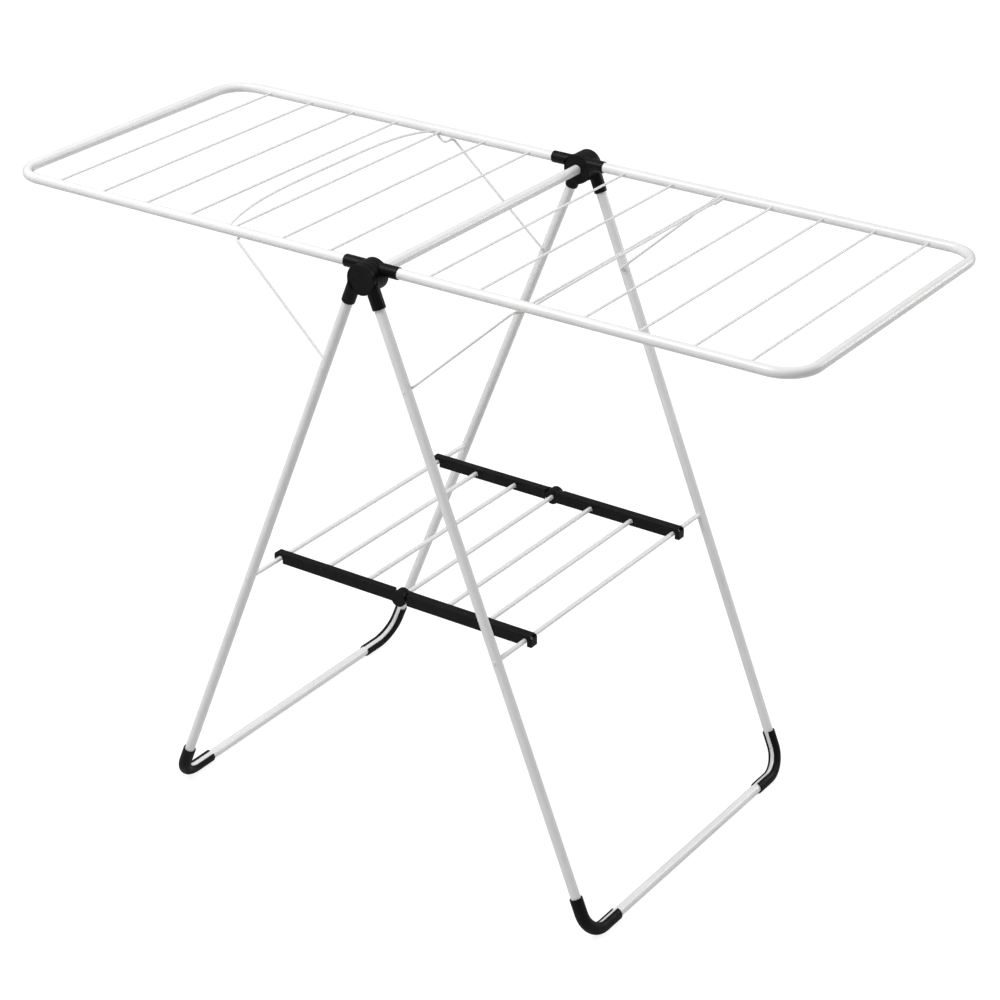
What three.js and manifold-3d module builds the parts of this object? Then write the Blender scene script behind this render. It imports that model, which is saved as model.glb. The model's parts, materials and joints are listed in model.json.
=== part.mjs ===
// Folding clothes drying rack with two wings, two U-shaped leg frames and a folding shelf.
// Millimetres, +X along the rack, +Y from front to rear, +Z up, origin on the floor under the hubs.

import * as THREE from 'three';
import { mergeVertices } from 'three/addons/utils/BufferGeometryUtils.js';
import Module from 'manifold-3d';

const wasm = await Module();
wasm.setup();

// ---- driving dimensions -------------------------------------------------------------------

const GAP = 0.3; // clearance between pieces that touch
const TUBE_R = 8;
const TUBE_BORE_R = 7.2;
const BEND_STEPS = 6;
const OVER = 1; // cutters reach this far past the surface they cut
const FAR = 400; // cutters reach this far when they must pass everything

// Hub: the knuckle plates of both wings and both leg frames share one axis along Y.
const KNUCKLE_R = 24;
const KNUCKLE_CLEAR_R = 24.5;
const PLATE = 9.1;
const PLATE_START = {
  wingRight: 268.0,
  wingLeft: 277.4,
  legRight: 286.8,
  legLeft: 296.2,
};
const OFFSET = 11.1; // tube axes pass the hub axis at this distance
const WING_SOCKET_R = 9.6;
const LEG_SOCKET_R = 10.5;
const POCKET_R = TUBE_R + GAP;
const POCKET_START = 27;
const TUBE_START = 28;
const PIN_R = 6;
const PIN_BORE_R = PIN_R + GAP;
const PIN_START = 240;
const PIN_END = 302.6;
const PIN_END_GAP = 0.4;
const SOCKET_START = 8;
const ARM_START = 6;
const ARM_END = 26;

// Leg frames
const LEG_ANGLE = THREE.MathUtils.degToRad(21.8);
const LEG_Y = 297.5;
const LEG_LENGTH = 1068.4;
const LEG_BEND_R = 42;
const LEG_SOCKET_END = 48.5;
const LEG_HOLE_HALF = 12; // half length of the drill through a leg tube
const SLEEVE_R = 10.5;
const SLEEVE_WALL = 2.2;
const SLEEVE_SLOT = 8;
const SLEEVE_TOP = 1000;
const SLEEVE_INNER_Y = 218;
const FOOT_DROP = 10.2; // foot bar axis above the floor; the sleeves are flat below
const HUB_HEIGHT = LEG_LENGTH * Math.cos(LEG_ANGLE) - OFFSET * Math.sin(LEG_ANGLE) + FOOT_DROP;

// Wings
const WING_Y = 275;
const WING_LENGTH = 702;
const WING_BEND_R = 50;
const WING_SOCKET_END = 48;
const WIRE_R = 1.9;
const WIRE_COUNT = 7;
const WIRE_FIRST_X = 90;
const WIRE_PITCH = 88.24;

// Stays: one bent wire each, pivoting in the legs and reaching under the third wing wire.
const STAY_R = 2;
const STAY_PIVOT = 175; // distance down the leg
const STAY_Y = 287.1;
const STAY_SHOULDER_Y = 280;
const STAY_BEND_R = 2.6;
const STAY_SHOULDER = 234; // the arms end here, just under the wing tubes
const STAY_STEP = 238; // end of the step inwards
const STAY_LIFT = 7.3; // shoulders above the plane of the bar
const STAY_TIP_Y = 264;
const STAY_BAR_START = 263;
const STAY_BAR_MIDDLE = 282;
const BOW_FLATNESS = 4; // power of the bar's curve
const BOW_BEND_R = 40;
const BOW_STEPS = 8;
const WIRE_END_PROUD = 0.8; // pivot wires stop this far outside a leg tube
const STAY_BAR_R = 6;
const STAY_WIRE = 2; // index of the wing wire it holds
const STAY_DROP = 4.6; // its plane passes this far below that wire

// Low shelf
const SHELF_DOWN = 605; // distance down the leg
const SHELF_ROD_R = 3.8;
const SHELF_BAYS = 6;
const SHELF_SHIFT = 2; // the inner rods sit this much nearer the middle than even bays would
const ROD_HOLE_R = 4.1;
const RAIL_TOP = 9.8; // above the rods' axis
const RAIL_BOTTOM = -8.9;
const RAIL_Y = 207.3;
const RAIL_WIDTH = 16.4;
const RAIL_WALL = 1.4;
const RAIL_END = 12.5; // past the outer rod
const RAIL_START = 14.2; // the channel starts this far from the middle rod
const RAIL_NOSE_R = 7;
const TONGUE_BOTTOM = 1.5; // wide rail's tongue, clear of the other rail when folded
const DISC_R = 13;
const DISC_SPLIT_Y = 216; // between the inner and the outer disc
const DISC_PROUD = 2.5; // outer disc past the rail's face

// ---- materials ----------------------------------------------------------------------------

const WHITE = { color: 0xf2f2f0, roughness: 0.35, metalness: 0 };
const BLACK = { color: 0x1d1d1d, roughness: 0.5, metalness: 0 };

// ---- shape helpers ------------------------------------------------------------------------

function arc(x, y, radius, from, to, steps) {
  const points = [];
  for (let i = 0; i <= steps; i += 1) {
    const angle = from + ((to - from) * i) / steps;
    points.push(new THREE.Vector2(x + radius * Math.cos(angle), y + radius * Math.sin(angle)));
  }
  return points;
}

function circle(radius, sides) {
  return arc(0, 0, radius, 0, 2 * Math.PI * (1 - 1 / sides), sides - 1);
}

function solid(geometry) {
  geometry.deleteAttribute('normal');
  geometry.deleteAttribute('uv');
  const merged = mergeVertices(geometry, 1e-4);
  const vertProperties = new Float32Array(merged.attributes.position.array);
  const triVerts = new Uint32Array(merged.index.array);
  return new wasm.Manifold(new wasm.Mesh({ numProp: 3, vertProperties, triVerts }));
}

function geometryOf(manifold) {
  const mesh = manifold.getMesh();
  const geometry = new THREE.BufferGeometry();
  geometry.setAttribute('position', new THREE.BufferAttribute(mesh.vertProperties, 3));
  geometry.setIndex(new THREE.BufferAttribute(mesh.triVerts, 1));
  geometry.computeVertexNormals();
  return geometry;
}

// Cylinder along Y between two heights, at (x, z).
function pegY(radius, y0, y1, sides, x = 0, z = 0) {
  const geometry = new THREE.CylinderGeometry(radius, radius, Math.abs(y1 - y0), sides);
  return geometry.translate(x, (y0 + y1) / 2, z);
}

// Cylinder along X, at (y, z).
function pegX(radius, x0, x1, sides, y, z) {
  const geometry = new THREE.CylinderGeometry(radius, radius, x1 - x0, sides);
  return geometry.rotateZ(Math.PI / 2).translate((x0 + x1) / 2, y, z);
}

function box(x0, x1, y0, y1, z0, z1) {
  const geometry = new THREE.BoxGeometry(x1 - x0, Math.abs(y1 - y0), z1 - z0);
  return geometry.translate((x0 + x1) / 2, (y0 + y1) / 2, (z0 + z1) / 2);
}

// Plate with an outline in the XZ plane, between two heights in Y.
function plate(outline, y0, y1) {
  const depth = Math.abs(y1 - y0);
  const geometry = new THREE.ExtrudeGeometry(new THREE.Shape(outline), { depth, bevelEnabled: false });
  return geometry.rotateX(Math.PI / 2).translate(0, Math.max(y0, y1), 0);
}

// A run of straight lines through corner points, with a round bend at each inner corner.
class BentPath extends THREE.Curve {
  constructor(corners, bends, bendSteps) {
    super();
    this.points = [corners[0]];
    this.tangents = [];
    for (let i = 1; i < corners.length - 1; i += 1) {
      const into = corners[i].clone().sub(corners[i - 1]).normalize();
      const out = corners[i + 1].clone().sub(corners[i]).normalize();
      const turn = into.angleTo(out);
      const setback = bends[i - 1] * Math.tan(turn / 2);
      const side = out.clone().addScaledVector(into, -into.dot(out)).normalize();
      const start = corners[i].clone().addScaledVector(into, -setback);
      if (i === 1) this.tangents.push(into);
      for (let step = 0; step <= bendSteps; step += 1) {
        const angle = (turn * step) / bendSteps;
        const along = bends[i - 1] * Math.sin(angle);
        const across = bends[i - 1] * (1 - Math.cos(angle));
        this.points.push(start.clone().addScaledVector(into, along).addScaledVector(side, across));
        this.tangents.push(
          into.clone().multiplyScalar(Math.cos(angle)).addScaledVector(side, Math.sin(angle)),
        );
      }
    }
    this.points.push(corners[corners.length - 1]);
    this.tangents.push(this.tangents[this.tangents.length - 1]);
    this.steps = this.points.length - 1;
  }

  getPoint(t, target = new THREE.Vector3()) {
    return target.copy(this.points[Math.round(t * this.steps)]);
  }

  getPointAt(t, target) {
    return this.getPoint(t, target);
  }

  getTangentAt(t, target = new THREE.Vector3()) {
    return target.copy(this.tangents[Math.round(t * this.steps)]);
  }
}

function sweep(section, path) {
  return new THREE.ExtrudeGeometry(section, { steps: path.steps, extrudePath: path });
}

function tubeSection(sides) {
  const section = new THREE.Shape(circle(TUBE_R, sides));
  section.holes.push(new THREE.Path(circle(TUBE_BORE_R, sides)));
  return section;
}

function piece(group, name, geometry, finish) {
  const mesh = new THREE.Mesh(geometry, new THREE.MeshStandardMaterial(finish));
  mesh.name = name;
  group.add(mesh);
  return mesh;
}

// ---- knuckles -----------------------------------------------------------------------------

// Round plate on the hub axis with a socket for a tube that runs along +X at height OFFSET.
function knuckle(plateStart, tubeY, socketR, socketEnd, sign, blind) {
  const y0 = sign * plateStart;
  const y1 = sign * (plateStart + PLATE);
  const y = sign * tubeY;
  const plateSpan = solid(box(0, FAR, y0, y1, -FAR, FAR));
  const arm = solid(pegX(socketR, ARM_START, ARM_END, 20, y, OFFSET)).intersect(plateSpan);
  const hubClear = solid(pegY(KNUCKLE_CLEAR_R, 0, sign * FAR, 40));
  const socket = solid(pegX(socketR, SOCKET_START, socketEnd, 20, y, OFFSET)).subtract(hubClear);
  const pocket = solid(pegX(POCKET_R, POCKET_START, socketEnd + OVER, 20, y, OFFSET));
  const boreEnd = blind ? PIN_END + PIN_END_GAP : FAR;
  const bore = solid(pegY(PIN_BORE_R, sign * PIN_START, sign * boreEnd, 20));
  const body = solid(pegY(KNUCKLE_R, y0, y1, 40)).add(arm).add(socket);
  return geometryOf(body.subtract(pocket).subtract(bore));
}

// ---- leg frames ---------------------------------------------------------------------------

// Local axes: -Z runs down the leg, +X away from the other leg frame.
function legFrame() {
  const y = LEG_Y;
  const corners = [
    new THREE.Vector3(OFFSET, -y, -TUBE_START),
    new THREE.Vector3(OFFSET, -y, -LEG_LENGTH),
    new THREE.Vector3(OFFSET, y, -LEG_LENGTH),
    new THREE.Vector3(OFFSET, y, -TUBE_START),
  ];
  const path = new BentPath(corners, [LEG_BEND_R, LEG_BEND_R], BEND_STEPS);
  let frame = solid(sweep(tubeSection(12), path));
  const holes = [
    { down: STAY_PIVOT, radius: STAY_R + GAP },
    { down: SHELF_DOWN, radius: ROD_HOLE_R },
  ];
  for (const { down, radius } of holes) {
    for (const sign of [-1, 1]) {
      const near = sign * (y - LEG_HOLE_HALF);
      const far = sign * (y + LEG_HOLE_HALF);
      frame = frame.subtract(solid(pegY(radius, near, far, 10, OFFSET, -down)));
    }
  }
  return geometryOf(frame);
}

// Open channel that clips over the foot bend, its slot on the inside of the bend.
function footSleeve(sign) {
  const inner = SLEEVE_R - SLEEVE_WALL;
  const middle = (SLEEVE_R + inner) / 2;
  const lip = SLEEVE_WALL / 2;
  const half = Math.asin((SLEEVE_SLOT / 2 + lip) / middle);
  const slot = (-sign * Math.PI) / 2;
  const start = slot + half;
  const end = slot + 2 * Math.PI - half;
  const lipAt = (angle, from, to) =>
    arc(middle * Math.cos(angle), middle * Math.sin(angle), lip, from, to, 4).slice(1, -1);
  const outline = [
    ...arc(0, 0, SLEEVE_R, start, end, 16),
    ...lipAt(end, end, end + Math.PI),
    ...arc(0, 0, inner, end, start, 12),
    ...lipAt(start, start + Math.PI, start + 2 * Math.PI),
  ];
  const corners = [
    new THREE.Vector3(OFFSET, sign * LEG_Y, -SLEEVE_TOP),
    new THREE.Vector3(OFFSET, sign * LEG_Y, -LEG_LENGTH),
    new THREE.Vector3(OFFSET, sign * SLEEVE_INNER_Y, -LEG_LENGTH),
  ];
  const path = new BentPath(corners, [LEG_BEND_R], BEND_STEPS);
  const below = box(0, LEG_LENGTH, 0, sign * FAR, -LEG_LENGTH, 0);
  below.translate(0, 0, -HUB_HEIGHT).rotateY(LEG_ANGLE);
  const channel = solid(sweep(new THREE.Shape(outline), path));
  return geometryOf(channel.subtract(solid(below)));
}

// ---- wings --------------------------------------------------------------------------------

function wingFrame() {
  const corners = [
    new THREE.Vector3(TUBE_START, -WING_Y, OFFSET),
    new THREE.Vector3(WING_LENGTH, -WING_Y, OFFSET),
    new THREE.Vector3(WING_LENGTH, WING_Y, OFFSET),
    new THREE.Vector3(TUBE_START, WING_Y, OFFSET),
  ];
  const path = new BentPath(corners, [WING_BEND_R, WING_BEND_R], BEND_STEPS);
  return sweep(tubeSection(12), path);
}

function wireX(index) {
  return WIRE_FIRST_X + WIRE_PITCH * index;
}

function wingWire(index) {
  const end = WING_Y - TUBE_R - GAP;
  return pegY(WIRE_R, -end, end, 8, wireX(index), OFFSET);
}

// ---- stays --------------------------------------------------------------------------------

// Local axes: +Z runs from the leg pivot towards the wing wire, -X away from the leg.
function stay() {
  const outer = LEG_Y + TUBE_R + WIRE_END_PROUD;
  const bow = [];
  for (let i = 1; i < BOW_STEPS; i += 1) {
    const across = -1 + (2 * i) / BOW_STEPS;
    const rise = (STAY_BAR_MIDDLE - STAY_BAR_START) * (1 - Math.abs(across) ** BOW_FLATNESS);
    bow.push(new THREE.Vector3(0, across * STAY_TIP_Y, STAY_BAR_START + rise));
  }
  const corners = [
    new THREE.Vector3(0, -outer, 0),
    new THREE.Vector3(0, -STAY_Y, 0),
    new THREE.Vector3(-STAY_LIFT, -STAY_SHOULDER_Y, STAY_SHOULDER),
    new THREE.Vector3(0, -STAY_TIP_Y, STAY_STEP),
    new THREE.Vector3(0, -STAY_TIP_Y, STAY_BAR_START),
    ...bow,
    new THREE.Vector3(0, STAY_TIP_Y, STAY_BAR_START),
    new THREE.Vector3(0, STAY_TIP_Y, STAY_STEP),
    new THREE.Vector3(-STAY_LIFT, STAY_SHOULDER_Y, STAY_SHOULDER),
    new THREE.Vector3(0, STAY_Y, 0),
    new THREE.Vector3(0, outer, 0),
  ];
  const bend = [STAY_BEND_R, STAY_BAR_R, STAY_BAR_R, STAY_BAR_R];
  const bends = [...bend, ...bow.map(() => BOW_BEND_R), ...bend.toReversed()];
  return sweep(new THREE.Shape(circle(STAY_R, 8)), new BentPath(corners, bends, 2));
}

// ---- shelf --------------------------------------------------------------------------------

const legPoint = (down) => new THREE.Vector2(
  OFFSET * Math.cos(LEG_ANGLE) + down * Math.sin(LEG_ANGLE),
  OFFSET * Math.sin(LEG_ANGLE) - down * Math.cos(LEG_ANGLE),
);
const shelfEnd = legPoint(SHELF_DOWN);
const rodPitch = shelfEnd.x / (SHELF_BAYS / 2);

const rodX = (bay) => rodPitch * bay - (bay > 0 && bay < SHELF_BAYS / 2 ? SHELF_SHIFT : 0);

// Side outline of a rail from its start near the middle rod to its rounded nose.
function railOutline(start, wall) {
  const end = shelfEnd.x + RAIL_END - wall;
  const top = RAIL_TOP - wall;
  const bottom = wall > 0 ? RAIL_BOTTOM - OVER : RAIL_BOTTOM;
  return [
    new THREE.Vector2(start, bottom),
    new THREE.Vector2(end, bottom),
    ...arc(end - RAIL_NOSE_R, top - RAIL_NOSE_R, RAIL_NOSE_R, 0, Math.PI / 2, 4),
    new THREE.Vector2(start, top),
  ];
}

// Arch over the outer rod, open below.
function notchOutline(x) {
  const foot = RAIL_BOTTOM - OVER;
  return [
    new THREE.Vector2(x - ROD_HOLE_R, foot),
    new THREE.Vector2(x + ROD_HOLE_R, foot),
    ...arc(x, 0, ROD_HOLE_R, 0, Math.PI, 8),
  ];
}

// One rail of a half shelf, open below, running along +X from the middle rod at the origin.
// The right half is the wider channel and carries the inner disc; the left half fits inside it.
function rail(wide, sign) {
  const outerY = RAIL_Y + RAIL_WIDTH;
  const inset = wide ? 0 : RAIL_WALL + GAP;
  const y0 = sign * (RAIL_Y + inset);
  const y1 = sign * (outerY - inset);
  const in0 = sign * (RAIL_Y + inset + RAIL_WALL);
  const in1 = sign * (outerY - inset - RAIL_WALL);
  const channel = solid(plate(railOutline(RAIL_START, 0), y0, y1));
  const hollow = solid(plate(railOutline(RAIL_START - OVER, RAIL_WALL), in0, in1));

  // tongue that joins the channel to the disc, in the disc's own layer
  const discY0 = sign * (wide ? RAIL_Y : DISC_SPLIT_Y + GAP / 2);
  const discY1 = sign * (wide ? DISC_SPLIT_Y - GAP / 2 : outerY + DISC_PROUD);
  const tongueBottom = wide ? TONGUE_BOTTOM : RAIL_BOTTOM;
  const tongue = box(0, RAIL_START, discY0, wide ? discY1 : y1, tongueBottom, RAIL_TOP);
  const wallEnd = RAIL_START + OVER;
  const wall = box(0, wallEnd, wide ? y0 : in1, wide ? in0 : y1, RAIL_BOTTOM, RAIL_TOP);
  const disc = pegY(DISC_R, discY0, discY1, 32);
  let body = channel.subtract(hollow);
  for (const added of [tongue, wall, disc]) {
    body = body.add(solid(added));
  }

  for (let bay = 1; bay < SHELF_BAYS / 2; bay += 1) {
    const hole = pegY(ROD_HOLE_R, 0, in0 + sign * GAP, 16, rodX(bay));
    body = body.subtract(solid(hole));
  }
  body = body.subtract(solid(plate(notchOutline(rodX(SHELF_BAYS / 2)), 0, sign * FAR)));
  const bore = pegY(ROD_HOLE_R, 0, sign * (outerY + OVER), 16);
  return geometryOf(body.subtract(solid(bore)));
}

function shelfRod(x, end) {
  return pegY(SHELF_ROD_R, -end, end, 10, x, 0);
}

// ---- assembly -----------------------------------------------------------------------------

const rack = new THREE.Group();
const hubs = new THREE.Group();
hubs.position.z = HUB_HEIGHT;
rack.add(hubs);

const faces = [
  { face: 'front', y: -1 },
  { face: 'rear', y: 1 },
];

for (const side of ['right', 'left']) {
  const turned = side === 'left';
  const half = new THREE.Group();
  half.rotation.z = turned ? Math.PI : 0;
  hubs.add(half);
  const leg = new THREE.Group();
  leg.rotation.y = -LEG_ANGLE;
  half.add(leg);

  piece(leg, `leg_frame_${side}`, legFrame(), WHITE);
  piece(half, `wing_frame_${side}`, wingFrame(), WHITE);
  for (let i = 0; i < WIRE_COUNT; i += 1) {
    piece(half, `wing_wire_${side}_${i + 1}`, wingWire(i), WHITE);
  }
  const legPlate = turned ? PLATE_START.legLeft : PLATE_START.legRight;
  const wingPlate = turned ? PLATE_START.wingLeft : PLATE_START.wingRight;
  for (const { face, y } of faces) {
    const sign = turned ? -y : y;
    const legKnuckle = knuckle(legPlate, LEG_Y, LEG_SOCKET_R, LEG_SOCKET_END, sign, turned);
    piece(leg, `leg_knuckle_${face}_${side}`, legKnuckle.rotateY(Math.PI / 2), BLACK);
    const wingKnuckle = knuckle(wingPlate, WING_Y, WING_SOCKET_R, WING_SOCKET_END, sign, false);
    piece(half, `wing_knuckle_${face}_${side}`, wingKnuckle, BLACK);
    piece(leg, `foot_sleeve_${face}_${side}`, footSleeve(sign), BLACK);
  }

  const pivot = legPoint(STAY_PIVOT);
  const reach = new THREE.Vector2(wireX(STAY_WIRE), OFFSET).sub(pivot);
  const rise = reach.angle() - Math.asin(STAY_DROP / reach.length());
  const stayMesh = piece(half, `stay_${side}`, stay(), WHITE);
  stayMesh.position.set(pivot.x, 0, pivot.y);
  stayMesh.rotation.y = Math.PI / 2 - rise;
}

// Tube on the hub axis and the pins that join it to the knuckles
const crossbarEnd = PLATE_START.wingRight - 2 * GAP;
const pinStep = crossbarEnd - PIN_END_GAP;
const crossbarShape = { depth: 2 * crossbarEnd, bevelEnabled: false };
const crossbar = new THREE.ExtrudeGeometry(tubeSection(16), crossbarShape);
piece(hubs, 'crossbar_tube', crossbar.rotateX(Math.PI / 2).translate(0, crossbarEnd, 0), WHITE);
for (const { face, y } of faces) {
  const profile = [
    new THREE.Vector2(0, PIN_START),
    new THREE.Vector2(TUBE_BORE_R - GAP, PIN_START),
    new THREE.Vector2(TUBE_BORE_R - GAP, pinStep),
    new THREE.Vector2(PIN_R, pinStep),
    new THREE.Vector2(PIN_R, PIN_END),
    new THREE.Vector2(0, PIN_END),
  ];
  const pin = piece(hubs, `hub_pin_${face}`, new THREE.LatheGeometry(profile, 16), BLACK);
  pin.rotation.x = y < 0 ? Math.PI : 0;
}

// Shelf: rods counted from the left leg to the right
const shelf = new THREE.Group();
shelf.position.z = shelfEnd.y;
hubs.add(shelf);
const rodEnds = {
  1: LEG_Y + TUBE_R + WIRE_END_PROUD,
  2: RAIL_Y + 2 * RAIL_WALL,
  3: RAIL_Y + 2 * RAIL_WALL,
  4: RAIL_Y + RAIL_WIDTH + OVER / 2,
  5: RAIL_Y + RAIL_WALL - GAP / 2,
  6: RAIL_Y + RAIL_WALL - GAP / 2,
  7: LEG_Y - TUBE_R - 2 * GAP,
};
for (let i = 1; i <= SHELF_BAYS + 1; i += 1) {
  const bay = i - 1 - SHELF_BAYS / 2;
  const x = Math.sign(bay) * rodX(Math.abs(bay));
  piece(shelf, `shelf_rod_${i}`, shelfRod(x, rodEnds[i]), WHITE);
}
for (const { face, y } of faces) {
  piece(shelf, `shelf_rail_${face}_right`, rail(true, y), BLACK);
  const leftRail = piece(shelf, `shelf_rail_${face}_left`, rail(false, -y), BLACK);
  leftRail.rotation.z = Math.PI;
  const stubStart = y * (LEG_Y - TUBE_R - GAP);
  const stub = pegY(SHELF_ROD_R, stubStart, y * rodEnds[1], 10, shelfEnd.x, 0);
  piece(shelf, `shelf_stub_${face}_right`, stub, WHITE);
}

export default rack;
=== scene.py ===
"""Looks for the folding clothes drying rack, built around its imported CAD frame. Metres, +Z up."""

import json
import math

import bpy
import numpy as np
from mathutils import Matrix, Vector

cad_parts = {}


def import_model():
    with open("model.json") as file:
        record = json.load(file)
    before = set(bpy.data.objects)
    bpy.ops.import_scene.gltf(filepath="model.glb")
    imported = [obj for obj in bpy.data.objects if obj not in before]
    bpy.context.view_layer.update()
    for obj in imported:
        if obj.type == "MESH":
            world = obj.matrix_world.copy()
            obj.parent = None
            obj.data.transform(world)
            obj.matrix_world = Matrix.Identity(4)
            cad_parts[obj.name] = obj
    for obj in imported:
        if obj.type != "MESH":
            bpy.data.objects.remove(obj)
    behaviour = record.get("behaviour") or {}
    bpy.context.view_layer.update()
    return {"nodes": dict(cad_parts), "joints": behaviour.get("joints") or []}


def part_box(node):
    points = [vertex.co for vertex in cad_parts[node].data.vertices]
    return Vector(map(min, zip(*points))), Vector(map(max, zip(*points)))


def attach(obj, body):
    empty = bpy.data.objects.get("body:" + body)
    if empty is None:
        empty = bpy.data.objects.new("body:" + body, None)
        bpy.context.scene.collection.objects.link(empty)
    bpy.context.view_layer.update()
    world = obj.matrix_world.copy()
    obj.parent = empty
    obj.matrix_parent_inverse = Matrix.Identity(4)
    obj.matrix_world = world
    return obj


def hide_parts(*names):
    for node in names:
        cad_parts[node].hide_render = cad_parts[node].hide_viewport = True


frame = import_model()
MM = 0.001

# ---- sizes, read from the frame -------------------------------------------------------------

PIVOT = {j["name"]: Vector(j["pos_m"]) for j in frame["joints"]}
HUB = PIVOT["legs_fold"]
STAY_PIVOT = PIVOT["stay_right_swing"]
SHELF_MIDDLE = PIVOT["shelf_middle_fold"]
SHELF_HALF = -PIVOT["shelf_left_fold"].x

wing_low, wing_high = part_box("wing_frame_right")
wire_low, wire_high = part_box("wing_wire_right_1")
leg_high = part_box("leg_frame_right")[1]
knuckle_low, knuckle_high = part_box("wing_knuckle_rear_right")
rod_low, rod_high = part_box("shelf_rod_4")
crossbar_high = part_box("crossbar_tube")[1]

TUBE_R = (wing_high.z - wing_low.z) / 2
OFFSET = (wing_high.z + wing_low.z) / 2 - HUB.z
WING_Y = wing_high.y - TUBE_R
WING_X = wing_high.x - TUBE_R
WING_BEND = 50 * MM
TUBE_START = 28 * MM  # tubes start this far from the hub axis
LEG_Y = leg_high.y - TUBE_R
LEG_BEND = 42 * MM
WIRE_R = (wire_high.z - wire_low.z) / 2

# Directions in the plane of the right leg frame: down the leg, and away from the other frame
DOWN = Vector((SHELF_HALF, 0, SHELF_MIDDLE.z)) - STAY_PIVOT
DOWN.normalize()
OUT = Vector((-DOWN.z, 0, DOWN.x))
LEG_START = HUB + OUT * OFFSET
FOOT_Z = 10.2 * MM
LEG_LENGTH = (FOOT_Z - LEG_START.z) / DOWN.z

KNUCKLE_R = (knuckle_high.z - knuckle_low.z) / 2
KNUCKLE_CLEAR_R = KNUCKLE_R + 0.4 * MM  # sockets on other plates keep clear of this circle
PLATE = 9.1 * MM
PLATE_START = {"wing_right": 268.0, "wing_left": 277.4, "leg_right": 286.8, "leg_left": 296.2}
SOCKET_R = {"wing": 9.6 * MM, "leg": 10.5 * MM}
SOCKET_END = {"wing": 48 * MM, "leg": 48.5 * MM}
POCKET_R = 8.3 * MM
POCKET_START = 27 * MM
SOCKET_START = 6 * MM
PIN_BORE_R = 6.3 * MM
PIN_BORE_START = 200 * MM
PIN_BORE_THROUGH = 400 * MM
PIN_BORE_BLIND = 298.5 * MM  # in the outermost knuckle, which hides the pin
FLAT_FACE_R = 21 * MM  # its disc is flat out to here

SLEEVE_WALL = 2.2 * MM
SLEEVE_R = 10.5 * MM
SLEEVE_SLOT = 8 * MM
SLEEVE_TOP = 1000 * MM
SLEEVE_END_Y = 218 * MM

# Stay: its arms run from the pivots to the shoulders, then step inwards to the bowed bar
STAY_R = 2 * MM
STAY_ARM_Y = 287.1 * MM
STAY_SHOULDER_Y = 280 * MM
STAY_TIP_Y = 264 * MM
STAY_SHOULDER = 234 * MM
STAY_STEP = 238 * MM
STAY_BAR_START = 263 * MM
STAY_BAR_MIDDLE = 282 * MM
STAY_LIFT = 7.3 * MM  # shoulders above the plane of the bar
STAY_DROP = 4.6 * MM  # that plane below the wire it holds
ROD_R = (rod_high.z - rod_low.z) / 2
ROD_HOLE_R = 4.1 * MM
RAIL_TOP = 9.8 * MM
RAIL_BOTTOM = -8.9 * MM
RAIL_INNER = 207.3 * MM
RAIL_OUTER = 223.7 * MM
RAIL_WALL = 1.4 * MM
RAIL_START = 14.2 * MM  # the channel starts this far from the middle rod
RAIL_END = 12.5 * MM  # past the outer rod
RAIL_NOSE_R = 7 * MM
DISC_R = 13 * MM
DISC_LAYERS = {"right": (RAIL_INNER, 215.85 * MM), "left": (216.15 * MM, RAIL_OUTER + 2.5 * MM)}
TONGUE_BOTTOM = 1.5 * MM  # of the right rail's tongue
PIECE_GAP = 0.3 * MM

# ---- materials --------------------------------------------------------------------------------


def new_material(name, colour, roughness, specular):
    """A Principled material with its fixed numbers set on the shader's own sockets."""
    material = bpy.data.materials.new(name)
    material.use_nodes = True
    shader = material.node_tree.nodes["Principled BSDF"]
    shader.inputs["Base Color"].default_value = (*colour, 1)
    shader.inputs["Roughness"].default_value = roughness
    shader.inputs["Specular IOR Level"].default_value = specular
    return material, material.node_tree, shader


def noise(tree, scale, detail, coordinates):
    node = tree.nodes.new("ShaderNodeTexNoise")
    node.inputs["Scale"].default_value = scale
    node.inputs["Detail"].default_value = detail
    tree.links.new(coordinates, node.inputs["Vector"])
    return node.outputs["Fac"]


def ramp(tree, factor, low, high, first, last):
    """Maps a factor between low and high to two grey levels or colours."""
    node = tree.nodes.new("ShaderNodeValToRGB")
    node.color_ramp.elements[0].position = low
    node.color_ramp.elements[0].color = first
    node.color_ramp.elements[1].position = high
    node.color_ramp.elements[1].color = last
    tree.links.new(factor, node.inputs["Fac"])
    return node.outputs["Color"]


def grey(value):
    return (value, value, value, 1)


def bump(tree, shader, height, strength, distance):
    node = tree.nodes.new("ShaderNodeBump")
    node.inputs["Strength"].default_value = strength
    node.inputs["Distance"].default_value = distance
    tree.links.new(height, node.inputs["Height"])
    tree.links.new(node.outputs["Normal"], shader.inputs["Normal"])


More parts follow.
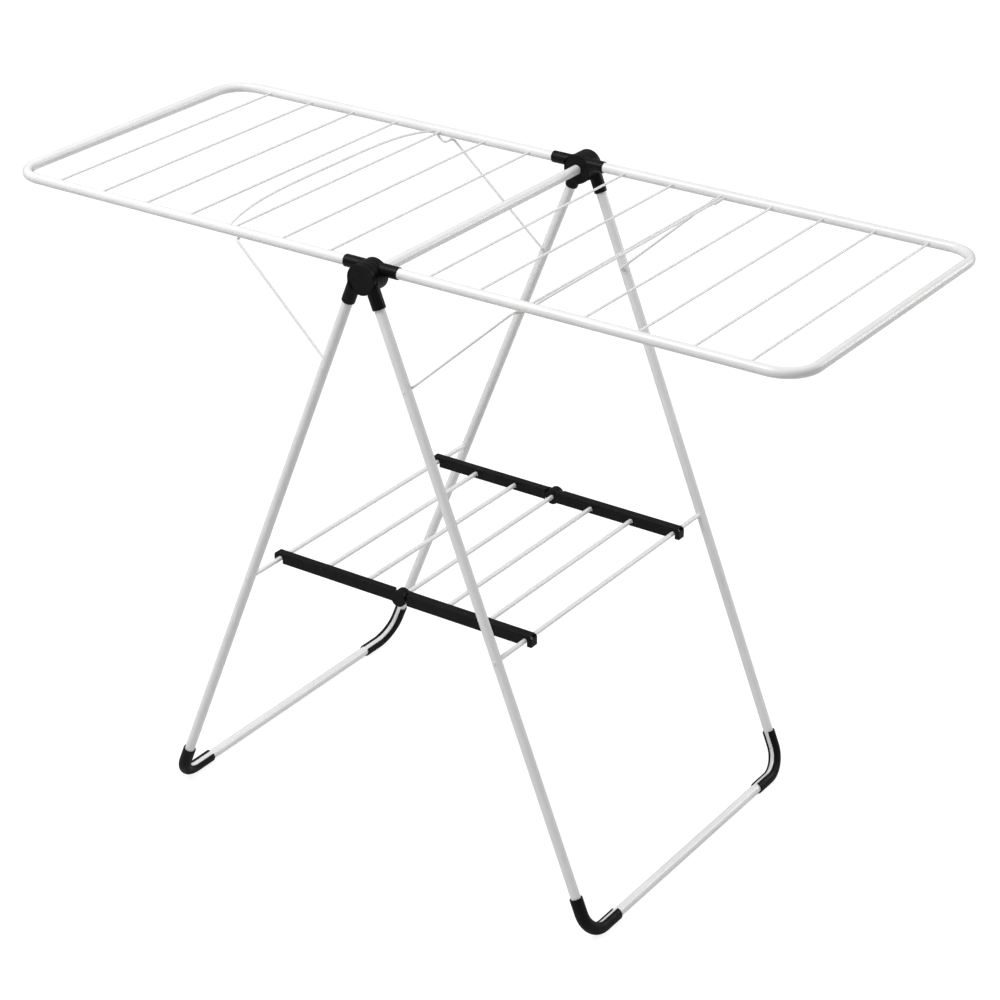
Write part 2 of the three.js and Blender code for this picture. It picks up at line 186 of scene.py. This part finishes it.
def powder_coat():
    """Satin white powder coat: faint orange peel, slow gloss changes, and painted shade that greys
    the colour at the rim where the surface turns away.
    """
    material, tree, shader = new_material("white_powder_coat", (0.86, 0.86, 0.855), 0.34, 0.5)
    place = tree.nodes.new("ShaderNodeTexCoord").outputs["Object"]
    cloud = noise(tree, 14, 3, place)
    colour = ramp(tree, cloud, 0.35, 0.7, (0.795, 0.797, 0.795, 1), (0.845, 0.844, 0.837, 1))
    # painted shade: the base colour darkens towards grazing angles, drawing a darker outline along
    # each tube's rim
    rim = tree.nodes.new("ShaderNodeLayerWeight")
    rim.inputs["Blend"].default_value = 0.5
    painted_rim_shade = ramp(tree, rim.outputs["Facing"], 0.76, 0.98, grey(1), grey(0.5))
    shade = tree.nodes.new("ShaderNodeMixRGB")
    shade.blend_type = "MULTIPLY"
    shade.inputs["Fac"].default_value = 1
    tree.links.new(colour, shade.inputs["Color1"])
    tree.links.new(painted_rim_shade, shade.inputs["Color2"])
    tree.links.new(shade.outputs["Color"], shader.inputs["Base Color"])
    gloss = ramp(tree, noise(tree, 160, 4, place), 0.3, 0.7, grey(0.28), grey(0.4))
    tree.links.new(gloss, shader.inputs["Roughness"])
    bump(tree, shader, noise(tree, 900, 2, place), 0.06, 0.0002)
    return material


def black_plastic(name, grain, roughness):
    """Moulded black plastic: fine spark-eroded grain, uneven gloss and slightly paler patches."""
    material, tree, shader = new_material(name, (0.004, 0.004, 0.004), roughness, 0.13)
    place = tree.nodes.new("ShaderNodeTexCoord").outputs["Object"]
    colour = ramp(tree, noise(tree, 40, 5, place), 0.3, 0.75, grey(0.0028), grey(0.0058))
    tree.links.new(colour, shader.inputs["Base Color"])
    smear = noise(tree, 90, 4, place)
    gloss = ramp(tree, smear, 0.3, 0.7, grey(roughness - 0.06), grey(roughness + 0.08))
    tree.links.new(gloss, shader.inputs["Roughness"])
    bump(tree, shader, noise(tree, grain, 3, place), 0.25, 0.0002)
    return material


WHITE = powder_coat()
BLACK = {
    "black_knuckle": black_plastic("black_knuckle_plastic", 1500, 0.42),
    "black_sleeve": black_plastic("black_sleeve_plastic", 1200, 0.5),
    "black_rail": black_plastic("black_rail_plastic", 1400, 0.46),
}

# ---- mesh helpers -----------------------------------------------------------------------------


def new_piece(name, vertices, faces, body, slot, replaced=(), sharp=math.radians(35)):
    """A smooth-shaded mesh that rides on a CAD body and stands for the CAD nodes named."""
    mesh = bpy.data.meshes.new(name)
    mesh.from_pydata([tuple(v) for v in vertices], [], [tuple(int(i) for i in f) for f in faces])
    mesh.validate()
    mesh.shade_smooth()
    mesh.set_sharp_from_angle(angle=sharp)
    piece = bpy.data.objects.new(name, mesh)
    bpy.context.scene.collection.objects.link(piece)
    mesh.materials.append(BLACK.get(slot, WHITE))
    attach(piece, body)
    if replaced:
        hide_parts(*replaced)
    return piece


def circle(radius, sides):
    turn = [2 * math.pi * i / sides for i in range(sides)]
    return [(radius * math.cos(a), radius * math.sin(a)) for a in turn]


def bent_path(corners, bends, steps):
    """Points and tangents along straight runs with a round bend at each inner corner."""
    points, tangents = [corners[0]], []
    for i in range(1, len(corners) - 1):
        into = (corners[i] - corners[i - 1]).normalized()
        out = (corners[i + 1] - corners[i]).normalized()
        turn = into.angle(out)
        side = (out - into * into.dot(out)).normalized()
        bend = bends[i - 1]
        start = corners[i] - into * bend * math.tan(turn / 2)
        if not tangents:
            tangents.append(into)
        for step in range(steps + 1):
            angle = turn * step / steps
            along, across = math.sin(angle), 1 - math.cos(angle)
            points.append(start + into * bend * along + side * bend * across)
            tangents.append(into * math.cos(angle) + side * math.sin(angle))
    points.append(corners[-1])
    tangents.append(tangents[-1])
    return points, tangents


def sweep(path, normal, section):
    """Vertices and faces of a section swept along a path; normal is the path plane's, or near it."""
    points, tangents = path
    vertices, faces = [], []
    count = len(section)
    for point, tangent in zip(points, tangents):
        across = normal.cross(tangent).normalized()
        up = tangent.cross(across)
        vertices += [point + up * a + across * b for a, b in section]
    for ring in range(len(points) - 1):
        for i in range(count):
            j = (i + 1) % count
            a, b = ring * count, (ring + 1) * count
            faces.append((a + i, a + j, b + j, b + i))
    faces.append(tuple(range(count - 1, -1, -1)))
    last = (len(points) - 1) * count
    faces.append(tuple(range(last, last + count)))
    return vertices, faces


def lathe(profile, sides, place):
    """Turns (radius, height) points round the Y axis, closed at both ends, then places them."""
    vertices, faces = [], []
    for radius, height in profile:
        vertices += [place @ Vector((x, height, z)) for x, z in circle(radius, sides)]
    for ring in range(len(profile) - 1):
        for i in range(sides):
            j = (i + 1) % sides
            a, b = ring * sides, (ring + 1) * sides
            faces.append((a + i, b + i, b + j, a + j))
    faces.append(tuple(range(sides)))
    last = (len(profile) - 1) * sides
    faces.append(tuple(range(last + sides - 1, last - 1, -1)))
    return vertices, faces


# ---- moulded shapes from distance fields ------------------------------------------------------


def cylinder_field(p, axis, centre, radius, low, high, edge):
    """Distance to a cylinder with rounded rims."""
    others = [k for k in range(3) if k != axis]
    a = np.hypot(p[:, others[0]] - centre[0], p[:, others[1]] - centre[1]) - (radius - edge)
    b = np.abs(p[:, axis] - (low + high) / 2) - ((high - low) / 2 - edge)
    outside = np.hypot(np.maximum(a, 0), np.maximum(b, 0))
    return outside + np.minimum(np.maximum(a, b), 0) - edge


def box_field(p, low, high, edge):
    """Distance to a box with rounded edges."""
    middle = (np.array(low) + np.array(high)) / 2
    q = np.abs(p - middle) - ((np.array(high) - np.array(low)) / 2 - edge)
    outside = np.linalg.norm(np.maximum(q, 0), axis=1)
    return outside + np.minimum(q.max(axis=1), 0) - edge


def blended(a, b, radius):
    """Union with a fillet."""
    h = np.clip(0.5 + 0.5 * (b - a) / radius, 0, 1)
    return b + (a - b) * h - radius * h * (1 - h)


def cut(a, b, radius):
    """a without b, with a rounded edge."""
    return -blended(-a, b, radius)


def skin(field, low, high, cell):
    """Quad mesh on a field's zero surface, one vertex in each grid cell that it crosses."""
    count = np.ceil((np.array(high) - np.array(low)) / cell).astype(int) + 1
    axes = [low[k] + cell * np.arange(count[k]) for k in range(3)]
    grid = np.stack(np.meshgrid(*axes, indexing="ij"), -1)
    inside = (field(grid.reshape(-1, 3)) < 0).reshape(count)
    total = np.zeros(count - 1, int)
    for corner in range(8):
        pick = tuple(slice((corner >> k) & 1, count[k] - 1 + ((corner >> k) & 1)) for k in range(3))
        total += inside[pick]
    active = (total > 0) & (total < 8)
    index = np.full(active.shape, -1)
    index[active] = np.arange(active.sum())
    centre = grid[:-1, :-1, :-1][active] + cell / 2
    points = centre.copy()
    step = cell * 0.02
    for _ in range(6):
        value = field(points)
        slope = np.stack(
            [
                (field(points + step * unit) - field(points - step * unit)) / (2 * step)
                for unit in np.eye(3)
            ],
            -1,
        )
        length = np.maximum((slope**2).sum(1), 0.25)
        points = points - slope * (value / length)[:, None]
        points = centre + np.clip(points - centre, -0.75 * cell, 0.75 * cell)
    faces = []
    for axis in range(3):
        u, v = (axis + 1) % 3, (axis + 2) % 3
        first, second = [slice(None)] * 3, [slice(None)] * 3
        first[axis], second[axis] = slice(0, -1), slice(1, None)
        before, after = inside[tuple(first)], inside[tuple(second)]
        for found, order in ((before & ~after, 1), (~before & after, -1)):
            at = np.argwhere(found)
            at = at[(at[:, u] > 0) & (at[:, v] > 0)]
            ring = []
            for du, dv in ((1, 1), (0, 1), (0, 0), (1, 0)):
                cells = at.copy()
                cells[:, u] -= du
                cells[:, v] -= dv
                ring.append(index[tuple(cells.T)])
            quads = np.stack(ring, 1)
            faces.append(quads if order > 0 else quads[:, ::-1])
    return points, np.concatenate(faces)


# ---- tubes, wires and rods --------------------------------------------------------------------


def side_sign(side):
    return 1 if side == "right" else -1


def mirrored(vector, sign):
    """A vector of the right half, turned about Z for the left half."""
    return Vector((vector.x * sign, vector.y * sign, vector.z))


TUBE_SIDES = 40
BEND_STEPS = 20


def wing_tube(side):
    sign = side_sign(side)
    corners = [
        Vector((TUBE_START, -WING_Y, OFFSET)),
        Vector((WING_X, -WING_Y, OFFSET)),
        Vector((WING_X, WING_Y, OFFSET)),
        Vector((TUBE_START, WING_Y, OFFSET)),
    ]
    corners = [HUB + mirrored(c, sign) for c in corners]
    path = bent_path(corners, [WING_BEND] * 2, BEND_STEPS)
    shape = sweep(path, Vector((0, 0, 1)), circle(TUBE_R, TUBE_SIDES))
    name = f"wing_frame_{side}"
    new_piece(f"{name}_tube", *shape, f"wing_{side}", "white_tube", [name])


def leg_tube(side):
    sign = side_sign(side)
    start = LEG_START + DOWN * TUBE_START
    end = LEG_START + DOWN * LEG_LENGTH
    depth = Vector((0, LEG_Y, 0))
    corners = [mirrored(c, sign) for c in (start - depth, end - depth, end + depth, start + depth)]
    path = bent_path(corners, [LEG_BEND] * 2, BEND_STEPS)
    shape = sweep(path, mirrored(OUT, sign), circle(TUBE_R, TUBE_SIDES))
    name = f"leg_frame_{side}"
    new_piece(f"{name}_tube", *shape, f"leg_{side}", "white_tube", [name])


def crossbar():
    half = crossbar_high.y
    place = Matrix.Translation(HUB)
    shape = lathe([(TUBE_R, -half), (TUBE_R, half)], TUBE_SIDES, place)
    new_piece("crossbar_tube_smooth", *shape, "leg_left", "white_tube", ["crossbar_tube"])


def welded_bar(radius, half, weld, place, sides):
    """A round bar along Y whose ends swell into a small weld."""
    profile = [(radius, -half + 2.4 * weld)]
    for step in range(1, 7):
        share = step / 6
        profile.append((radius + weld * share**2.2, -half + 2.4 * weld * (1 - share)))
    bar = [(r, h) for r, h in reversed(profile)] + [(r, -h) for r, h in profile]
    return lathe(bar, sides, place)


def wing_wires(side):
    for number in range(1, 8):
        node = f"wing_wire_{side}_{number}"
        low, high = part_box(node)
        place = Matrix.Translation((low + high) / 2)
        half = WING_Y - TUBE_R + 0.7 * MM
        shape = welded_bar(WIRE_R, half, 0.9 * MM, place, 20)
        new_piece(f"{node}_smooth", *shape, f"wing_{side}", "white_wire", [node])


def rod(node, body, half, tip):
    """A shelf rod, its ends slightly rounded."""
    low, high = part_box(node)
    centre = Vector(((low.x + high.x) / 2, 0, (low.z + high.z) / 2))
    profile = [(ROD_R - tip, -half)]
    for step in range(1, 6):
        angle = math.pi / 2 * step / 5
        profile.append((ROD_R - tip + tip * math.sin(angle), -half + tip * (1 - math.cos(angle))))
    bar = profile + [(r, -h) for r, h in reversed(profile)]
    shape = lathe(bar, 24, Matrix.Translation(centre))
    new_piece(f"{node}_smooth", *shape, body, "white_wire", [node])


def stub(face):
    node = f"shelf_stub_{face}_right"
    low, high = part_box(node)
    centre = (low + high) / 2
    half = (high.y - low.y) / 2
    tip = 0.7 * MM
    profile = [(ROD_R, -half), (ROD_R, half - tip)]
    profile += [(ROD_R - tip / 3, half - tip / 3), (ROD_R - tip, half)]
    turn = Matrix.Rotation(math.pi if face == "front" else 0, 4, "X")
    shape = lathe(profile, 24, Matrix.Translation(centre) @ turn)
    new_piece(f"{node}_smooth", *shape, "leg_right", "white_wire", [node])


def stay(side):
    """One bent wire: leg pivots, arms, a step inwards under the wing and a bowed bar."""
    sign = side_sign(side)
    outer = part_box(f"stay_{side}")[1].y
    low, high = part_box("wing_wire_right_3")
    reach = (low + high) / 2 - STAY_PIVOT
    rise = math.atan2(reach.z, reach.x) - math.asin(STAY_DROP / reach.length)
    along = Vector((math.cos(rise), 0, math.sin(rise)))
    above = Vector((-along.z, 0, along.x))
    bow = []
    steps = 16
    for i in range(1, steps):
        across = -1 + 2 * i / steps
        bulge = (STAY_BAR_MIDDLE - STAY_BAR_START) * (1 - across**4)
        bow.append((across * STAY_TIP_Y, STAY_BAR_START + bulge, 0))
    half = [
        (outer, 0, 0),
        (STAY_ARM_Y, 0, 0),
        (STAY_SHOULDER_Y, STAY_SHOULDER, STAY_LIFT),
        (STAY_TIP_Y, STAY_STEP, 0),
        (STAY_TIP_Y, STAY_BAR_START, 0),
    ]
    run = [(-y, h, v) for y, h, v in half] + bow + list(reversed(half))
    corners = [
        mirrored(STAY_PIVOT + along * h + above * v + Vector((0, y, 0)), sign) for y, h, v in run
    ]
    bend = [2.6 * MM] + [6 * MM] * 3
    bends = bend + [60 * MM] * len(bow) + bend[::-1]
    shape = sweep(bent_path(corners, bends, 6), mirrored(above, sign), circle(STAY_R, 24))
    new_piece(f"stay_{side}_smooth", *shape, f"stay_{side}", "white_wire", [f"stay_{side}"])


# ---- plastic pieces ---------------------------------------------------------------------------


def knuckle(kind, side, face):
    """Plate on the hub axis with a socket for a tube, filleted where the two meet."""
    sign = side_sign(side)
    start = PLATE_START[f"{kind}_{side}"] * MM
    tube_y = WING_Y if kind == "wing" else LEG_Y
    end = SOCKET_END[kind]
    socket_r = SOCKET_R[kind]
    outermost = kind == "leg" and side == "left"
    edge = 0.9 * MM if outermost else 0.4 * MM

    def field(p):
        plate = cylinder_field(p, 1, (0, 0), KNUCKLE_R, start, start + PLATE, edge)
        socket = cylinder_field(p, 0, (tube_y, OFFSET), socket_r, SOCKET_START, end, 1.0 * MM)
        body = blended(plate, socket, 2.5 * MM)
        from_axis = np.hypot(p[:, 0], p[:, 2])
        slab = np.abs(p[:, 1] - start - PLATE / 2) - PLATE / 2
        if outermost:
            slab = start - p[:, 1]
        body = np.maximum(body, np.minimum(slab, KNUCKLE_CLEAR_R - from_axis))
        if outermost:
            above_face = np.maximum(start + PLATE - p[:, 1], from_axis - FLAT_FACE_R)
            body = cut(body, above_face, 1.5 * MM)
        pocket = cylinder_field(
            p, 0, (tube_y, OFFSET), POCKET_R, POCKET_START, end + 20 * MM, 0.1 * MM
        )
        bore_end = PIN_BORE_BLIND if outermost else PIN_BORE_THROUGH
        bore = cylinder_field(p, 1, (0, 0), PIN_BORE_R, PIN_BORE_START, bore_end, 0.1 * MM)
        return cut(cut(body, pocket, 0.5 * MM), bore, 0.3 * MM)

    margin = 2 * MM
    low = (-KNUCKLE_R - margin, min(start, tube_y - socket_r) - margin, -KNUCKLE_R - margin)
    high = (end + margin, max(start + PLATE, tube_y + socket_r) + margin, KNUCKLE_R + margin)
    points, faces = skin(field, low, high, 0.9 * MM)
    local = 1 if face == "rear" else -1
    points = points * (1, local * sign, 1)
    if local * sign < 0:
        faces = faces[:, ::-1]
    if kind == "leg":
        # the socket points down the leg, the offset away from the other frame
        points = (
            np.outer(points[:, 0], DOWN)
            + np.outer(points[:, 1], (0, 1, 0))
            + np.outer(points[:, 2], OUT)
        )
    points = points * (sign, sign, 1) + np.array(HUB)
    node = f"{kind}_knuckle_{face}_{side}"
    new_piece(f"{node}_moulded", points, faces, f"{kind}_{side}", "black_knuckle", [node], 0.9)


def foot_sleeve(side, face):
    """Open channel clipped over the foot bend, its slot on the inside of the bend."""
    sign = side_sign(side)
    local = (1 if face == "rear" else -1) * sign
    inner = SLEEVE_R - SLEEVE_WALL
    middle, lip = (SLEEVE_R + inner) / 2, SLEEVE_WALL / 2
    half = math.asin((SLEEVE_SLOT / 2 + lip) / middle)
    start, end = half, 2 * math.pi - half

    def ring(radius, first, last, steps, x=0, y=0):
        for i in range(steps + 1):
            a = first + (last - first) * i / steps
            yield x + radius * math.sin(a), y + radius * math.cos(a)

    outline = list(ring(SLEEVE_R, start, end, 48))
    tip = (middle * math.sin(end), middle * math.cos(end))
    outline += list(ring(lip, end, end + math.pi, 8, *tip))[1:-1]
    outline += list(ring(inner, end, start, 48))
    tip = (middle * math.sin(start), middle * math.cos(start))
    outline += list(ring(lip, start + math.pi, start + 2 * math.pi, 8, *tip))[1:-1]

    depth = Vector((0, 1, 0)) * local
    corner = LEG_START + DOWN * LEG_LENGTH
    corners = [
        LEG_START + DOWN * SLEEVE_TOP + depth * LEG_Y,
        corner + depth * LEG_Y,
        corner + depth * SLEEVE_END_Y,
    ]
    points, tangents = bent_path(corners, [LEG_BEND], BEND_STEPS)

    # extra rings near both ends, so that the rims can be rounded and curved
    edge = 0.8 * MM
    rings = []
    for step in range(5):
        angle = math.pi / 2 * step / 4
        rings.append((edge * (1 - math.sin(angle)), edge * (1 - math.cos(angle))))
    vertices, faces = [], []
    stations = [(points[0] + tangents[0] * d, tangents[0], inset) for inset, d in rings[::-1]]
    stations = sorted(stations, key=lambda s: (s[0] - points[0]).length)
    stations += [(p, t, 0) for p, t in zip(points[1:-1], tangents[1:-1])]
    finish = [(points[-1] - tangents[-1] * d, tangents[-1], inset) for inset, d in rings]
    stations += sorted(finish, key=lambda s: -(s[0] - points[-1]).length)
    count = len(outline)
    total = len(stations)
    for point, tangent, inset in stations:
        inward = tangent.cross(OUT) * local
        for a, b in outline:
            radius = math.hypot(a, b)
            new = middle + (radius - middle) * (1 - inset / lip * 0.5)
            scale = new / radius
            vertices.append(point + OUT * a * scale + inward * b * scale)
    for step in range(total - 1):
        for i in range(count):
            j = (i + 1) % count
            a, b = step * count, (step + 1) * count
            faces.append((a + i, b + i, b + j, a + j))
    faces.append(tuple(range(count)))
    faces.append(tuple(range(total * count - 1, (total - 1) * count - 1, -1)))
    vertices = [mirrored(v, sign) for v in vertices]
    vertices = [Vector((v.x, v.y, max(v.z, 0))) for v in vertices]
    node = f"foot_sleeve_{face}_{side}"
    new_piece(f"{node}_moulded", vertices, faces, f"leg_{side}", "black_sleeve", [node], 0.9)


def rail(side, face):
    """Rail of a half shelf, open below, with a disc at the middle hinge."""
    wide = side == "right"
    inset = 0 if wide else RAIL_WALL + PIECE_GAP
    y0, y1 = RAIL_INNER + inset, RAIL_OUTER - inset
    disc = DISC_LAYERS[side]
    if wide:
        tongue = (disc[0], disc[1], TONGUE_BOTTOM)
        wall = (y0, y0 + RAIL_WALL)
    else:
        tongue = (disc[0], y1, RAIL_BOTTOM)
        wall = (y1 - RAIL_WALL, y1)
    end = SHELF_HALF + RAIL_END
    boxes = [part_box(f"shelf_rod_{number}") for number in ((5, 6, 7) if wide else (3, 2, 1))]
    rods = [abs(low.x + high.x) / 2 for low, high in boxes]

    def field(p):
        x, y, z = p[:, 0], p[:, 1], p[:, 2]
        body = box_field(p, (RAIL_START, y0, RAIL_BOTTOM), (end, y1, RAIL_TOP), 0.9 * MM)
        qx, qz = x - (end - RAIL_NOSE_R), z - (RAIL_TOP - RAIL_NOSE_R)
        nose = np.where((qx > 0) & (qz > 0), np.hypot(qx, qz) - RAIL_NOSE_R, -RAIL_NOSE_R)
        body = np.maximum(body, nose)
        hollow = box_field(
            p,
            (RAIL_START - 5 * MM, y0 + RAIL_WALL, RAIL_BOTTOM - 9 * MM),
            (end - RAIL_WALL, y1 - RAIL_WALL, RAIL_TOP - RAIL_WALL),
            0.5 * MM,
        )
        body = cut(body, hollow, 0.3 * MM)
        join = RAIL_START + 1.5 * MM
        added = (
            ((0, wall[0], RAIL_BOTTOM), (join, wall[1], RAIL_TOP)),
            ((0, tongue[0], tongue[2]), (RAIL_START, tongue[1], RAIL_TOP)),
            ((0, tongue[0], RAIL_TOP - RAIL_WALL), (join, tongue[1], RAIL_TOP)),
        )
        for low, high in added:
            body = np.minimum(body, box_field(p, low, high, 0.2 * MM))
        hinge = cylinder_field(p, 1, (0, 0), DISC_R, disc[0], disc[1], 0.5 * MM)
        body = np.minimum(body, hinge)
        for at in rods[:2]:
            hole = np.maximum(np.hypot(x - at, z) - ROD_HOLE_R, y - (y0 + RAIL_WALL + 0.4 * MM))
            body = cut(body, hole, 0.3 * MM)
        arch = np.hypot(x - rods[2], z) - ROD_HOLE_R
        slot = np.maximum(np.abs(x - rods[2]) - ROD_HOLE_R, z)
        body = cut(body, np.minimum(arch, slot), 0.4 * MM)
        bore = np.maximum(np.hypot(x, z) - ROD_HOLE_R, y - RAIL_OUTER - 1 * MM)
        return cut(body, bore, 0.2 * MM)

    low = (-15 * MM, 205 * MM, -15 * MM)
    high = (end + 2 * MM, 228 * MM, 15 * MM)
    points, faces = skin(field, low, high, 0.75 * MM)
    sign = side_sign(side)
    local = (1 if face == "rear" else -1) * sign
    points = points * (1, local, 1)
    if local < 0:
        faces = faces[:, ::-1]
    points = points * (sign, sign, 1) + np.array(SHELF_MIDDLE)
    node = f"shelf_rail_{face}_{side}"
    new_piece(f"{node}_moulded", points, faces, f"shelf_{side}", "black_rail", [node], 0.9)


# ---- build ------------------------------------------------------------------------------------

crossbar()
for side in ("left", "right"):
    wing_tube(side)
    leg_tube(side)
    wing_wires(side)
    stay(side)
    for face in ("front", "rear"):
        knuckle("wing", side, face)
        knuckle("leg", side, face)
        foot_sleeve(side, face)
        rail(side, face)
for number in range(1, 8):
    node = f"shelf_rod_{number}"
    body = "leg_left" if number == 1 else "shelf_left" if number < 5 else "shelf_right"
    rod(node, body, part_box(node)[1].y, 0.6 * MM)
for face in ("front", "rear"):
    stub(face)
for name, node in frame["nodes"].items():
    if node.hide_render:
        continue
    node.data.materials.clear()
    node.data.materials.append(BLACK["black_knuckle"])

# ---- floor, light and camera ------------------------------------------------------------------


def seen_or_lit(tree, seen, lit, output):
    """Sends one shader to the camera's own rays and another to the light that bounces."""
    mix = tree.nodes.new("ShaderNodeMixShader")
    tree.links.new(tree.nodes.new("ShaderNodeLightPath").outputs["Is Camera Ray"], mix.inputs[0])
    tree.links.new(lit.outputs[0], mix.inputs[1])
    tree.links.new(seen.outputs[0], mix.inputs[2])
    tree.links.new(mix.outputs[0], output.inputs["Surface"])


def floor():
    """Pale paper sweep: seen nearly white, and a softer grey to the light that it throws back."""
    size = 60
    mesh = bpy.data.meshes.new("floor")
    corners = [(-size, -size, 0), (size, -size, 0), (size, size, 0), (-size, size, 0)]
    mesh.from_pydata(corners, [], [(0, 1, 2, 3)])
    plane = bpy.data.objects.new("floor", mesh)
    plane.location.z = -0.3 * MM
    bpy.context.scene.collection.objects.link(plane)
    material, tree, paper = new_material("pale_floor", (0.3, 0.3, 0.3), 0.9, 0.1)
    paper.inputs["Emission Color"].default_value = (1, 1, 1, 1)
    paper.inputs["Emission Strength"].default_value = 0.86
    bounce = tree.nodes.new("ShaderNodeBsdfDiffuse")
    bounce.inputs["Color"].default_value = (0.66, 0.66, 0.66, 1)
    seen_or_lit(tree, paper, bounce, tree.nodes["Material Output"])
    mesh.materials.append(material)


def area_light(name, place, target, size, power):
    light = bpy.data.lights.new(name, "AREA")
    light.shape = "DISK"
    light.size = size
    light.energy = power
    lamp = bpy.data.objects.new(name, light)
    lamp.location = place
    aim = Vector(target) - Vector(place)
    lamp.rotation_euler = aim.to_track_quat("-Z", "Y").to_euler()
    bpy.context.scene.collection.objects.link(lamp)


def world(horizon, zenith):
    """White to the camera; its light grows from the horizon to overhead."""
    sky = bpy.data.worlds.new("studio")
    sky.use_nodes = True
    tree = sky.node_tree
    lit = tree.nodes["Background"]
    place = tree.nodes.new("ShaderNodeTexCoord").outputs["Generated"]
    split = tree.nodes.new("ShaderNodeSeparateXYZ")
    tree.links.new(place, split.inputs[0])
    glow = ramp(tree, split.outputs["Z"], 0.1, 0.8, grey(horizon), grey(zenith))
    tree.links.new(glow, lit.inputs["Color"])
    seen = tree.nodes.new("ShaderNodeBackground")
    seen.inputs["Color"].default_value = (1, 1, 1, 1)
    seen_or_lit(tree, seen, lit, tree.nodes["World Output"])
    bpy.context.scene.world = sky


def camera():
    azimuth, elevation, roll = math.radians(34.254), math.radians(26.464), math.radians(0.181)
    right = Vector((math.cos(azimuth), math.sin(azimuth), 0))
    back = Vector(
        (
            math.sin(azimuth) * math.cos(elevation),
            -math.cos(azimuth) * math.cos(elevation),
            math.sin(elevation),
        )
    )
    up = back.cross(right)
    turned_right = right * math.cos(roll) + up * math.sin(roll)
    turned_up = up * math.cos(roll) - right * math.sin(roll)
    lens = bpy.data.cameras.new("camera")
    lens.sensor_width = 36
    lens.lens = 99.24
    lens.clip_end = 200
    eye = bpy.data.objects.new("camera", lens)
    axes = Matrix((turned_right, turned_up, back)).transposed()
    place = HUB + Vector((2.24541, -3.24275, 1.48545))
    eye.matrix_world = Matrix.Translation(place) @ axes.to_4x4()
    bpy.context.scene.collection.objects.link(eye)
    bpy.context.scene.camera = eye


floor()
world(0.16, 0.6)
area_light("key_left", (-1.31, -1.99, 4.42), (0, 0, 0.6), 2.4, 140)
area_light("rim_right", (2.33, 2.96, 1.92), (0, 0, 0.6), 1.6, 45)
camera()
bpy.context.scene.view_settings.view_transform = "Standard"
